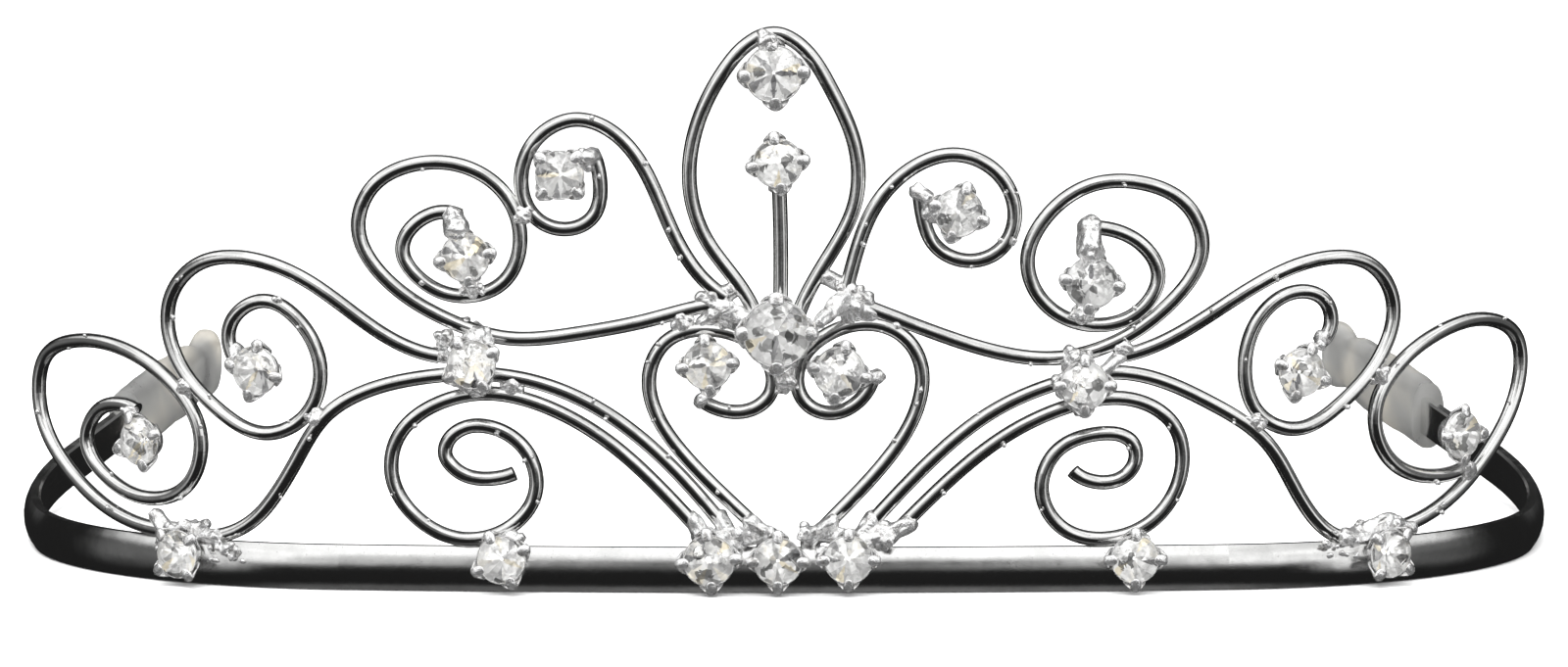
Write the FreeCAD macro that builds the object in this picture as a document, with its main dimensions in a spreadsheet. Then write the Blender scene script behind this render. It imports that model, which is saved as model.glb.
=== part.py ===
import FreeCAD, Part
import math
import os
import Sketcher
from FreeCAD import Matrix, Placement, Rotation, Vector

# Bridal tiara of plated wire. A springy headband of D-shaped strip makes an open U. Over its front
# stands a spray of bent round wires: a centre leaf with a stem, and on each side a heart scroll, an
# inner scroll, an upper scroll, a side scroll, an end scroll, an arch and a lower scroll. Twenty-two
# round stones sit in four-claw cups, and a clear sleeve covers each end of the headband.
#
# Frame: -Y towards the viewer, +X to the viewer's right, +Z up, in mm. The origin is under the
# middle of the bounding box, and the flat foot of the band's front lies at z = 0.

DRIVING_DIMENSIONS = {
    # plan of the headband, as arcs from the middle of the front towards one tip
    "front_radius": 400.0,
    "front_half_angle": 5.5,
    "shoulder_radius": 33.9,
    "shoulder_angle": 70.0,
    "side_radius": 90.0,
    "left_side_angle": 23.2,
    "right_side_angle": 25.2,
    "side_tilt": 13.3,
    "tail_length": 54.5,
    # D-section of the band: flat towards the head, rounded outwards
    "band_height": 3.85,
    "band_back": 0.7,
    "band_crown": 0.9,
    "band_edge": 0.25,
    "band_chamfer": 0.2,
    # the spray stands a little to the left, follows the band, then leaves it on a gentler curve
    "spray_shift": -0.42,
    "spray_turn": 23.5,
    "spray_radius": 80.0,
    "wire_diameter": 1.3,
    # stones
    "stone_size": 4.1,
    "tip_stone_size": 4.8,
    "centre_stone_size": 5.7,
    "girdle_height": 0.12,
    "crown_share": 0.16,
    "crown_angle": 38.0,
    "pavilion_share": 0.28,
    "pavilion_angle": 42.0,
    # four-claw cups
    "cup_share": 0.415,
    "cup_base_share": 0.36,
    "cup_floor": 0.35,
    "cup_floor_share": 0.17,
    "cup_wall": 0.12,
    "claw_spread": 0.85,
    "claw_root": 0.55,
    "claw_grip": 0.4,
    "claw_top": 0.85,
    "claw_angle": 30.0,
    # clear sleeves on the ends of the band
    "sleeve_length": 34.0,
    "sleeve_cap": 1.4,
    "sleeve_height": 7.6,
    "sleeve_thickness": 3.7,
    "sleeve_round": 1.1,
    "sleeve_gap": 0.05,
    # from the front of the band back to the middle of the model's depth
    "origin_depth": 58.61,
}

# Each wire passes through points (length along the spray from its middle, height), in mm.
WIRES = {
    "centre_leaf": [
        (-2.0, 23.9), (-3.9, 27.2), (-6.1, 30.2), (-7.6, 34.6), (-7.3, 39.2), (-4.7, 44.9),
        (-2.0, 47.6), (-0.3, 48.05), (1.5, 47.3), (4.4, 43.4), (6.5, 38.4), (6.5, 33.6),
        (4.2, 28.9), (1.7, 24.1),
    ],
    "centre_stem": [(0.1, 24.2), (0.15, 29.0), (0.0, 35.2)],
    "left_heart_scroll": [
        (-0.6, 4.2), (-4.2, 7.8), (-8.2, 11.9), (-10.7, 15.8), (-11.1, 19.1), (-9.5, 21.8),
        (-6.0, 22.7), (-2.6, 21.7), (-0.7, 19.4), (-0.8, 17.1), (-2.4, 15.8), (-4.7, 15.7),
        (-6.9, 16.8),
    ],
    "right_heart_scroll": [
        (2.6, 4.2), (5.6, 7.4), (9.6, 11.9), (12.0, 16.4), (12.1, 19.9), (10.4, 22.3),
        (7.3, 23.2), (4.2, 22.3), (2.0, 20.2), (1.6, 17.7), (2.6, 16.1), (4.6, 15.5),
        (6.8, 16.5), (8.1, 19.0),
    ],
    "left_inner_scroll": [
        (-4.6, 25.5), (-7.8, 28.7), (-9.7, 32.4), (-11.4, 36.2), (-14.2, 39.6), (-17.4, 40.7),
        (-20.6, 39.2), (-22.1, 35.5), (-21.0, 32.4), (-18.3, 31.3), (-16.1, 32.2), (-15.3, 35.0),
        (-16.0, 37.9),
    ],
    "right_inner_scroll": [
        (5.7, 26.0), (6.6, 29.3), (8.0, 32.9), (11.0, 36.3), (15.0, 37.7), (18.6, 36.2),
        (20.2, 32.6), (19.0, 29.6), (16.0, 28.6), (13.3, 30.0), (12.3, 32.4), (12.0, 34.8),
    ],
    "left_upper_scroll": [
        (-4.4, 25.0), (-7.0, 24.6), (-11.2, 23.5), (-17.4, 22.3), (-23.4, 21.9), (-28.6, 23.5), (-33.8, 26.9),
        (-36.2, 31.3), (-34.9, 34.9), (-31.3, 36.8), (-27.2, 36.7), (-23.6, 34.4), (-22.2, 30.4),
        (-23.7, 26.7), (-27.2, 25.5), (-30.7, 26.8), (-32.4, 29.7), (-31.0, 31.9), (-27.4, 32.4),
    ],
    "right_upper_scroll": [
        (5.3, 25.5), (7.4, 24.7), (11.8, 23.0), (18.0, 20.9), (24.2, 20.2), (29.3, 21.7), (34.0, 25.2),
        (36.4, 29.6), (35.2, 33.1), (31.2, 35.2), (26.6, 35.0), (22.8, 32.2), (21.3, 28.6),
        (22.8, 24.9), (27.2, 23.0), (31.1, 24.3), (32.6, 27.4), (30.8, 30.2), (28.6, 31.2),
        (26.4, 31.4),
    ],
    "left_side_scroll": [
        (-29.3, 20.3), (-34.2, 22.2), (-40.7, 26.7), (-46.6, 28.6), (-51.4, 27.7), (-54.2, 24.3),
        (-53.5, 19.7), (-49.4, 15.5), (-44.6, 13.4), (-41.1, 14.9), (-39.6, 18.8), (-41.2, 22.9),
        (-44.6, 24.9), (-47.3, 23.6), (-47.6, 20.0),
    ],
    "right_side_scroll": [
        (29.8, 20.4), (35.3, 22.7), (41.8, 26.7), (47.8, 28.6), (52.2, 27.7), (54.4, 24.4),
        (53.2, 20.0), (49.0, 15.8), (44.6, 13.8), (41.5, 15.2), (40.2, 19.1), (41.4, 23.4),
        (44.8, 25.7), (47.6, 24.7), (48.0, 22.6), (46.9, 21.2),
    ],
    "left_end_scroll": [
        (-53.7, 4.4), (-60.4, 5.5), (-66.4, 9.2), (-69.8, 14.0), (-69.2, 18.7), (-65.0, 20.5),
        (-59.4, 20.1), (-54.0, 17.4), (-51.0, 13.0), (-52.4, 8.5), (-56.6, 7.1), (-61.2, 8.5),
        (-63.9, 11.8), (-62.4, 14.5), (-59.6, 15.2), (-57.9, 14.8),
    ],
    "right_end_scroll": [
        (53.8, 4.4), (60.7, 6.7), (66.2, 11.3), (69.4, 16.5), (69.2, 20.5), (65.5, 22.4),
        (60.2, 21.8), (55.0, 18.9), (52.6, 15.0), (54.1, 10.8), (58.2, 9.0), (62.8, 9.5),
    ],
    "left_arch": [
        (-52.1, 4.3), (-48.6, 4.4), (-45.8, 5.8), (-43.7, 8.1), (-41.7, 11.3), (-39.2, 15.0), (-35.9, 17.1),
        (-31.0, 18.4), (-26.4, 18.8), (-21.7, 18.3), (-15.8, 16.0), (-9.9, 11.5), (-3.6, 4.2),
    ],
    "right_arch": [
        (52.0, 4.3), (48.4, 4.5), (45.1, 8.1), (42.2, 12.7), (37.2, 16.2), (32.8, 18.2),
        (28.9, 18.9), (24.6, 18.2), (18.9, 15.9), (13.4, 11.7), (6.3, 4.2),
    ],
    "left_lower_scroll": [
        (-5.8, 4.2), (-9.4, 8.1), (-14.6, 12.9), (-19.8, 15.9), (-24.8, 17.1), (-29.6, 16.1),
        (-32.9, 13.2), (-33.4, 9.8), (-31.4, 6.4), (-27.6, 4.5), (-23.4, 5.4), (-21.0, 8.5),
        (-21.6, 11.9), (-24.9, 14.2), (-27.7, 13.8), (-28.8, 12.0), (-27.6, 10.3), (-25.2, 9.7),
        (-22.8, 10.2),
    ],
    "right_lower_scroll": [
        (9.1, 4.2), (13.9, 9.0), (20.0, 13.8), (25.6, 16.2), (30.6, 16.5), (34.1, 14.2),
        (34.7, 10.2), (32.2, 6.0), (28.2, 4.5), (24.5, 5.4), (22.6, 8.8), (23.8, 12.0),
        (27.6, 13.6), (30.4, 12.9), (30.7, 11.2), (29.6, 9.8), (27.6, 9.4), (25.3, 10.4),
    ],
}

# Each cup: length along the spray, height, turn of its claws in degrees, and what it stands on.
SETTINGS = {
    "tip": (-0.45, 44.6, 4, "leaf"),
    "stem": (-0.1, 37.0, 8, "panel"),
    "centre": (-0.2, 22.6, 0, "wire"),
    "left_heart": (-6.1, 19.7, 6, "panel"),
    "right_heart": (5.1, 19.2, -12, "panel"),
    "left_inner": (-18.7, 36.0, 47, "panel"),
    "right_inner": (15.3, 32.8, -18, "panel"),
    "left_upper": (-26.8, 28.9, 10, "panel"),
    "right_upper": (26.6, 26.65, -8, "panel"),
    "left_junction": (-26.2, 19.8, 30, "wire"),
    "right_junction": (26.0, 18.0, 0, "wire"),
    "left_side": (-45.1, 18.9, -12, "panel"),
    "right_side": (44.9, 18.8, -20, "panel"),
    "left_end_scroll": (-56.8, 12.2, 20, "panel"),
    "right_end_scroll": (61.4, 12.5, 0, "panel"),
    "left_band_end": (-51.8, 2.75, 40, "band"),
    "right_band_end": (52.6, 2.8, 50, "band"),
    "left_band_mid": (-23.7, 3.0, 25, "band"),
    "right_band_mid": (30.4, 3.0, 0, "band"),
    "left_band_side": (-6.1, 3.0, 5, "band"),
    "band_centre": (-0.1, 2.95, 0, "band"),
    "right_band_side": (5.9, 3.1, 0, "band"),
}
STONE_SIZES = {"tip": "tip_stone_size", "centre": "centre_stone_size"}
SINGLE_STONES = ["tip", "stem", "centre", "band_centre"]
PAIRED_STONES = [
    "heart", "inner", "upper", "junction", "side", "end_scroll", "band_end", "band_mid", "band_side",
]
STONE_CORNERS = 8
CLAWS = 4
WIRE_SPAN = 2.6
UP = Vector(0, 0, 1)

doc = FreeCAD.newDocument("tiara")
sheet = doc.addObject("Spreadsheet::Sheet", "sheet")
for row, (alias, value) in enumerate(DRIVING_DIMENSIONS.items(), start=1):
    sheet.set("A%d" % row, alias)
    sheet.set("B%d" % row, str(value))
    sheet.setAlias("B%d" % row, alias)
doc.recompute()


class Dim:
    """A measure that keeps both its value and the sheet expression behind it."""

    def __init__(self, value, text):
        self.value = value
        self.text = text

    def __add__(self, other):
        other = as_dim(other)
        return Dim(self.value + other.value, "(%s + %s)" % (self.text, other.text))

    def __sub__(self, other):
        other = as_dim(other)
        return Dim(self.value - other.value, "(%s - %s)" % (self.text, other.text))

    def __mul__(self, other):
        other = as_dim(other)
        return Dim(self.value * other.value, "(%s * %s)" % (self.text, other.text))

    def __truediv__(self, other):
        other = as_dim(other)
        return Dim(self.value / other.value, "(%s / %s)" % (self.text, other.text))


def as_dim(measure):
    """A Dim made from a plain number, or the Dim itself."""
    if isinstance(measure, Dim):
        return measure
    return Dim(float(measure), "(%.9f)" % float(measure))


def cell(alias):
    """One driving dimension, as a Dim."""
    return Dim(float(sheet.get(alias)), "sheet." + alias)


def add(kind, label):
    """A new object of the document, with its Label."""
    item = doc.addObject(kind, label)
    item.Label = label
    return item


# --- frames on the spray --------------------------------------------------------------------------

def axes_placement(place, along_x, along_y, along_z):
    """Placement at a place with its three local axes given."""
    return Placement(place, Rotation(Matrix(
        along_x.x, along_y.x, along_z.x, 0,
        along_x.y, along_y.y, along_z.y, 0,
        along_x.z, along_y.z, along_z.z, 0,
        0, 0, 0, 1,
    )))


def spray_point(along, height):
    """Place on the spray's surface, and its heading in radians."""
    arcs = [
        (cell("front_radius").value, cell("front_half_angle").value),
        (cell("shoulder_radius").value, cell("spray_turn").value),
        (cell("spray_radius").value, 90.0),
    ]
    along += cell("spray_shift").value
    side = -1 if along < 0 else 1
    rest = abs(along)
    x, y, heading = 0.0, 0.0, 0.0
    for radius, degrees in arcs:
        run = min(rest, radius * math.radians(degrees))
        turned = heading + run / radius
        x += radius * (math.sin(turned) - math.sin(heading))
        y += radius * (math.cos(heading) - math.cos(turned))
        heading = turned
        rest -= run
    return Vector(side * x, y - cell("origin_depth").value, height), side * heading


def spray_placement(along, height, outward, turn):
    """Placement on the spray: local Z points outwards and local X is turned from level."""
    place, heading = spray_point(along, height)
    tangent = Vector(math.cos(heading), math.sin(heading), 0)
    normal = tangent.cross(UP)
    upright = axes_placement(place + normal * outward, tangent, UP, normal)
    return upright.multiply(Placement(Vector(0, 0, 0), Rotation(Vector(0, 0, 1), turn)))


# --- paths ----------------------------------------------------------------------------------------

def arc_edge(start, heading, end):
    """The arc that leaves start along heading and reaches end."""
    chord = end - start
    axis = heading.cross(chord)
    if axis.Length < 1e-6 * chord.Length:
        return Part.LineSegment(start, end).toShape()
    inward = axis.cross(heading).normalize()
    radius = chord.Length ** 2 / (2 * chord.dot(inward))
    centre = start + inward * radius
    middle = centre + ((start + end) * 0.5 - centre).normalize() * radius
    return Part.Arc(start, middle, end).toShape()


def biarc_edges(start, start_heading, end, end_heading):
    """Two tangent arcs between two places with given headings."""
    chord = end - start
    a = 2 * (1 - start_heading.dot(end_heading))
    b = 2 * chord.dot(start_heading + end_heading)
    c = -chord.dot(chord)
    reach = -c / b if a < 1e-9 else (math.sqrt(b * b - 4 * a * c) - b) / (2 * a)
    near = start + start_heading * reach
    far = end - end_heading * reach
    joint = (near + far) * 0.5
    return [
        arc_edge(start, start_heading, joint),
        arc_edge(joint, (far - near).normalize(), end),
    ]


def spray_path(knots):
    """Smooth run of arcs through knots on the spray, with its first place and heading."""
    curve = Part.BSplineCurve()
    curve.interpolate([Vector(along, height, 0) for along, height in knots])
    spans = math.ceil(curve.length() / WIRE_SPAN)
    places = []
    headings = []
    for index in range(spans + 1):
        at = curve.parameterAtDistance(curve.length() * index / spans, curve.FirstParameter)
        flat = curve.value(at)
        lead = curve.tangent(at)[0]
        place, heading = spray_point(flat.x, flat.y)
        places.append(place)
        headings.append(Vector(lead.x * math.cos(heading), lead.x * math.sin(heading), lead.y))
    edges = []
    for index in range(spans):
        edges += biarc_edges(
            places[index], headings[index], places[index + 1], headings[index + 1],
        )
    return Part.Wire(edges), places[0], headings[0]


def mirrored(place):
    """The same place on the other side."""
    return Vector(-place.x, place.y, place.z)


def band_half(side):
    """One arm, drawn as if on the right: its three-point arcs, its tip and the tip's axes."""
    side_angle = "left_side_angle" if side < 0 else "right_side_angle"
    place = Vector(0, -cell("origin_depth").value, 0)
    tangent = Vector(1, 0, 0)
    upright = Vector(0, 0, 1)
    arcs = []
    runs = [
        ("front_radius", "front_half_angle", 0.0),
        ("shoulder_radius", "shoulder_angle", 0.0),
        ("side_radius", side_angle, math.radians(cell("side_tilt").value)),
    ]
    for radius_name, angle_name, lean in runs:
        radius = cell(radius_name).value
        angle = cell(angle_name).value
        inward = upright.cross(tangent) * math.cos(lean) + upright * math.sin(lean)
        centre = place + inward * radius
        axis = tangent.cross(inward)
        half_turn = Rotation(axis, angle / 2)
        whole_turn = Rotation(axis, angle)
        end = centre + whole_turn.multVec(place - centre)
        arcs.append((place, centre + half_turn.multVec(place - centre), end))
        place = end
        tangent = whole_turn.multVec(tangent)
        upright = whole_turn.multVec(upright)
    tip = place + tangent * cell("tail_length").value
    return arcs, tip, tangent, upright


def band_path():
    """The whole path of the band, from the left tip to the right tip."""
    left_arcs, left_tip, tangent, upright = band_half(-1)
    arcs, tip, tangent, upright = band_half(1)
    front = arcs[0][2]
    edges = [Part.LineSegment(mirrored(left_tip), mirrored(left_arcs[-1][2])).toShape()]
    for start, middle, end in reversed(left_arcs[1:]):
        edges.append(Part.Arc(mirrored(end), mirrored(middle), mirrored(start)).toShape())
    edges.append(Part.Arc(mirrored(front), arcs[0][0], front).toShape())
    for start, middle, end in arcs[1:]:
        edges.append(Part.Arc(start, middle, end).toShape())
    edges.append(Part.LineSegment(arcs[-1][2], tip).toShape())
    return Part.Wire(edges)


# --- sketches -------------------------------------------------------------------------------------

def constrain(sketch, kind, *where, measure):
    """A dimension of a sketch that follows the sheet."""
    index = sketch.addConstraint(Sketcher.Constraint(kind, *where, measure.value))
    sketch.setExpression("Constraints[%d]" % index, measure.text)


def closed_lines(sketch, corners):
    """A closed run of lines; every corner is a pair of Dims."""
    count = len(corners)
    places = [Vector(across.value, up.value, 0) for across, up in corners]
    for index in range(count):
        sketch.addGeometry(Part.LineSegment(places[index], places[(index + 1) % count]), False)
    for index in range(count):
        sketch.addConstraint(Sketcher.Constraint("Coincident", index, 2, (index + 1) % count, 1))
    for index, (across, up) in enumerate(corners):
        constrain(sketch, "DistanceX", -1, 1, index, 1, measure=across)
        constrain(sketch, "DistanceY", -1, 1, index, 1, measure=up)


def origin_part(body, role):
    """One of a body's own origin planes or axes."""
    return next(item for item in body.Origin.OriginFeatures if item.Role == role)


def body_sketch(body, name, role, level=None):
    """A sketch on one of a body's origin planes, raised by a Dim if one is given."""
    sketch = body.newObject("Sketcher::SketchObject", name)
    sketch.AttachmentSupport = (origin_part(body, role), [""])
    sketch.MapMode = "FlatFace"
    if level is not None:
        sketch.AttachmentOffset = Placement(Vector(0, 0, level.value), Rotation())
        sketch.setExpression("AttachmentOffset.Base.z", level.text)
    return sketch


# --- headband and sleeves -------------------------------------------------------------------------

def make_headband():
    """The D-section swept along the whole path of the band."""
    height = cell("band_height")
    edge = cell("band_edge")
    back = as_dim(0) - cell("band_back")
    chamfer = cell("band_chamfer")
    bulge = cell("band_crown") - edge
    radius = (height * height / 4 + bulge * bulge) / (bulge * 2)
    zero = as_dim(0)
    corners = [
        (edge, height),
        (back + chamfer, height),
        (back, height - chamfer),
        (back, chamfer),
        (back + chamfer, zero),
        (edge, zero),
    ]
    profile = add("Sketcher::SketchObject", "band_profile")
    places = [Vector(across.value, up.value, 0) for across, up in corners]
    for index in range(len(places) - 1):
        profile.addGeometry(Part.LineSegment(places[index], places[index + 1]), False)
    centre = Vector(cell("band_crown").value - radius.value, height.value / 2, 0)
    half = math.asin(height.value / 2 / radius.value)
    front = profile.addGeometry(
        Part.ArcOfCircle(Part.Circle(centre, Vector(0, 0, 1), radius.value), -half, half), False,
    )
    for index in range(len(places) - 2):
        profile.addConstraint(Sketcher.Constraint("Coincident", index, 2, index + 1, 1))
    profile.addConstraint(Sketcher.Constraint("Coincident", front - 1, 2, front, 1))
    profile.addConstraint(Sketcher.Constraint("Coincident", front, 2, 0, 1))
    for index, (across, up) in enumerate(corners[:-1]):
        constrain(profile, "DistanceX", -1, 1, index, 1, measure=across)
        constrain(profile, "DistanceY", -1, 1, index, 1, measure=up)
    constrain(profile, "DistanceX", -1, 1, front - 1, 2, measure=edge)
    constrain(profile, "DistanceY", -1, 1, front - 1, 2, measure=zero)
    constrain(profile, "Radius", front, measure=radius)
    arcs, tip, tangent, upright = band_half(-1)
    outward = mirrored(tangent.cross(upright))
    lift = mirrored(upright)
    profile.Placement = axes_placement(mirrored(tip), outward, lift, outward.cross(lift))
    path = add("Part::Feature", "band_path")
    path.Shape = band_path()
    band = add("Part::Sweep", "headband")
    band.Sections = [profile]
    band.Spine = (path, [])
    band.Solid = True
    band.Frenet = False
    return band


def make_sleeve(label, side):
    """A clear sleeve closed at the tip, with a slot for the band's section."""
    body = add("PartDesign::Body", label)
    length = cell("sleeve_length")
    gap = cell("sleeve_gap")
    middle_up = cell("band_height") / 2
    middle_across = (cell("band_crown") - cell("band_back")) / (-2 * side)
    radius = cell("sleeve_thickness") / 2
    straight = cell("sleeve_height") / 2 - radius
    outer = body_sketch(body, label + "_outline", "XY_Plane")
    centre = Vector(middle_across.value, middle_up.value, 0)
    low = centre - Vector(0, straight.value, 0)
    high = centre + Vector(0, straight.value, 0)
    reach = Vector(radius.value, 0, 0)
    top_round = Part.Circle(high, Vector(0, 0, 1), radius.value)
    low_round = Part.Circle(low, Vector(0, 0, 1), radius.value)
    outer.addGeometry(Part.LineSegment(low + reach, high + reach), False)
    outer.addGeometry(Part.ArcOfCircle(top_round, 0, math.pi), False)
    outer.addGeometry(Part.LineSegment(high - reach, low - reach), False)
    outer.addGeometry(Part.ArcOfCircle(low_round, math.pi, 2 * math.pi), False)
    for index in range(4):
        outer.addConstraint(Sketcher.Constraint("Tangent", index, 2, (index + 1) % 4, 1))
    constrain(outer, "Radius", 1, measure=radius)
    constrain(outer, "DistanceX", -1, 1, 1, 3, measure=middle_across)
    constrain(outer, "DistanceY", -1, 1, 1, 3, measure=middle_up + straight)
    constrain(outer, "DistanceY", -1, 1, 3, 3, measure=middle_up - straight)
    tube = body.newObject("PartDesign::Pad", label + "_tube")
    tube.Profile = outer
    tube.setExpression("Length", (length + cell("sleeve_cap")).text)
    inner = body_sketch(body, label + "_slot_outline", "XY_Plane")
    half_across = (cell("band_crown") + cell("band_back")) / 2 + gap
    low_up = as_dim(0) - gap
    high_up = cell("band_height") + gap
    closed_lines(inner, [
        (middle_across - half_across, low_up),
        (middle_across + half_across, low_up),
        (middle_across + half_across, high_up),
        (middle_across - half_across, high_up),
    ])
    slot = body.newObject("PartDesign::Pocket", label + "_slot")
    slot.Profile = inner
    slot.Reversed = True
    slot.setExpression("Length", (length + gap).text)
    doc.recompute()
    total = (length + cell("sleeve_cap")).value
    rim = []
    for index, corner in enumerate(slot.Shape.Edges, start=1):
        if corner.BoundBox.ZMin > total - 1e-3:
            rim.append("Edge%d" % index)
    rounding = body.newObject("PartDesign::Fillet", label + "_rounding")
    rounding.Base = (slot, rim)
    rounding.setExpression("Radius", "sheet.sleeve_round")
    body.Tip = rounding
    arcs, tip, tangent, upright = band_half(side)
    if side < 0:
        tip, tangent, upright = mirrored(tip), mirrored(tangent), mirrored(upright)
    mouth = tip - tangent * length.value
    body.Placement = axes_placement(mouth, upright.cross(tangent), upright, tangent)
    return body


# --- wires of the spray ---------------------------------------------------------------------------

def make_wire(label, knots):
    """Round wire bent through its knots on the spray's surface."""
    path_shape, start, heading = spray_path(knots)
    path = add("Part::Feature", label + "_path")
    path.Shape = path_shape
    ring = add("Part::Circle", label + "_section")
    ring.setExpression("Radius", "sheet.wire_diameter / 2")
    ring.Placement = Placement(start, Rotation(Vector(0, 0, 1), heading))
    wire = add("Part::Sweep", label)
    wire.Sections = [ring]
    wire.Spine = (path, [])
    wire.Solid = True
    wire.Frenet = False
    return wire


# --- stones and their cups ------------------------------------------------------------------------

def stone_size(name):
    """Diameter of the stone in one cup."""
    return cell(STONE_SIZES.get(name, "stone_size"))


def setting_placement(name):
    """Where the foot of one cup stands."""
    along, height, turn, ground = SETTINGS[name]
    outward = {
        "wire": cell("wire_diameter").value / 2 - 0.05,
        "leaf": -cell("wire_diameter").value / 2 - 0.6,
        "panel": 0.05 - cell("wire_diameter").value / 2,
        "band": cell("band_crown").value - 0.05,
    }
    return spray_placement(along, height, outward[ground], turn)


def make_setting(name):
    """A turned cup with four claws that fold over the stone's edge."""
    body = add("PartDesign::Body", name + "_setting")
    across = stone_size(name)
    radius = across / 2
    seat = across * cell("cup_share")
    zero = as_dim(0)
    cup_outline = body_sketch(body, name + "_cup_outline", "XZ_Plane")
    closed_lines(cup_outline, [
        (zero, zero),
        (across * cell("cup_base_share"), zero),
        (radius + cell("cup_wall"), seat - 0.1),
        (radius - 0.1, seat - 0.1),
        (across * cell("cup_floor_share"), cell("cup_floor")),
        (zero, cell("cup_floor")),
    ])
    cup = body.newObject("PartDesign::Revolution", name + "_cup")
    cup.Profile = cup_outline
    cup.ReferenceAxis = (origin_part(body, "Z_Axis"), [""])
    cup.Angle = 360
    claw_outline = body_sketch(body, name + "_claw_outline", "XZ_Plane")
    closed_lines(claw_outline, [
        (radius - 0.25, seat - cell("claw_root")),
        (radius + 0.2, seat - cell("claw_root")),
        (radius + cell("claw_spread"), seat + 0.1),
        (radius + cell("claw_spread") - 0.15, seat + 0.5),
        (radius - cell("claw_grip") + 0.1, seat + cell("claw_top")),
        (radius - cell("claw_grip"), seat + cell("claw_top") - 0.35),
        (radius + 0.05, seat + 0.2),
        (radius + 0.05, seat - 0.05),
    ])
    claw = body.newObject("PartDesign::Revolution", name + "_claw")
    claw.Profile = claw_outline
    claw.ReferenceAxis = (origin_part(body, "Z_Axis"), [""])
    claw.Midplane = True
    claw.setExpression("Angle", "sheet.claw_angle")
    claws = body.newObject("PartDesign::PolarPattern", name + "_claws")
    claws.Originals = [claw]
    claws.Axis = (origin_part(body, "Z_Axis"), [""])
    claws.Angle = 360
    claws.Occurrences = CLAWS
    body.Tip = claws
    body.Placement = setting_placement(name)
    return body


def girdle_sketch(body, name, radius, level):
    """The stone's eight-sided outline at one level."""
    sketch = body_sketch(body, name, "XY_Plane", level)
    corners = []
    for index in range(STONE_CORNERS):
        angle = 2 * math.pi * (index + 0.5) / STONE_CORNERS
        corners.append((radius * math.cos(angle), radius * math.sin(angle)))
    closed_lines(sketch, corners)
    return sketch


def make_stone(name, label):
    """A cut stone: thin girdle, tapered crown with a table, and tapered pavilion with a culet."""
    body = add("PartDesign::Body", label)
    across = stone_size(name)
    seat = across * cell("cup_share")
    lower = girdle_sketch(body, name + "_girdle_outline", across / 2, seat)
    girdle = body.newObject("PartDesign::Pad", name + "_girdle")
    girdle.Profile = lower
    girdle.setExpression("Length", "sheet.girdle_height")
    pavilion = body.newObject("PartDesign::Pad", name + "_pavilion")
    pavilion.Profile = lower
    pavilion.Reversed = True
    pavilion.setExpression("Length", (across * cell("pavilion_share")).text)
    pavilion.setExpression("TaperAngle", "sheet.pavilion_angle - 90")
    upper_level = seat + cell("girdle_height")
    upper = girdle_sketch(body, name + "_crown_outline", across / 2, upper_level)
    crown = body.newObject("PartDesign::Pad", name + "_crown")
    crown.Profile = upper
    crown.setExpression("Length", (across * cell("crown_share")).text)
    crown.setExpression("TaperAngle", "sheet.crown_angle - 90")
    body.Tip = crown
    body.Placement = setting_placement(name)
    return body


# --- the whole tiara ------------------------------------------------------------------------------

nodes = [make_headband(), make_sleeve("left_sleeve", -1), make_sleeve("right_sleeve", 1)]
for wire_name, wire_knots in WIRES.items():
    nodes.append(make_wire(wire_name, wire_knots))
for setting_name in SETTINGS:
    nodes.append(make_setting(setting_name))
for stone_name in SINGLE_STONES:
    nodes.append(make_stone(stone_name, stone_name + "_stone"))
for stone_name in PAIRED_STONES:
    pair = add("Part::Compound", stone_name + "_stones")
    pair.Links = [
        make_stone("left_" + stone_name, "left_" + stone_name + "_stone"),
        make_stone("right_" + stone_name, "right_" + stone_name + "_stone"),
    ]
    nodes.append(pair)
doc.recompute()

for item in doc.Objects:
    if "Invalid" in item.State or "Error" in item.State:
        raise RuntimeError("%s is not computed: %s" % (item.Label, item.State))
for node in nodes:
    if node.Shape.isNull() or not node.Shape.isValid():
        raise RuntimeError("%s has no valid shape" % node.Label)

os.makedirs("parts", exist_ok=True)
for node in nodes:
    node.Shape.exportStep("parts/%s.step" % node.Label)
    box = node.Shape.BoundBox
    print("%-26s solids %d faces %3d  x %7.2f %7.2f  y %7.2f %7.2f  z %6.2f %6.2f" % (
        node.Label, len(node.Shape.Solids), len(node.Shape.Faces),
        box.XMin, box.XMax, box.YMin, box.YMax, box.ZMin, box.ZMax,
    ))
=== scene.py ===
import math
import random
from functools import cache

import bmesh
import bpy
import numpy as np
from mathutils import Matrix, Vector, noise
from mathutils.kdtree import KDTree


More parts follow.
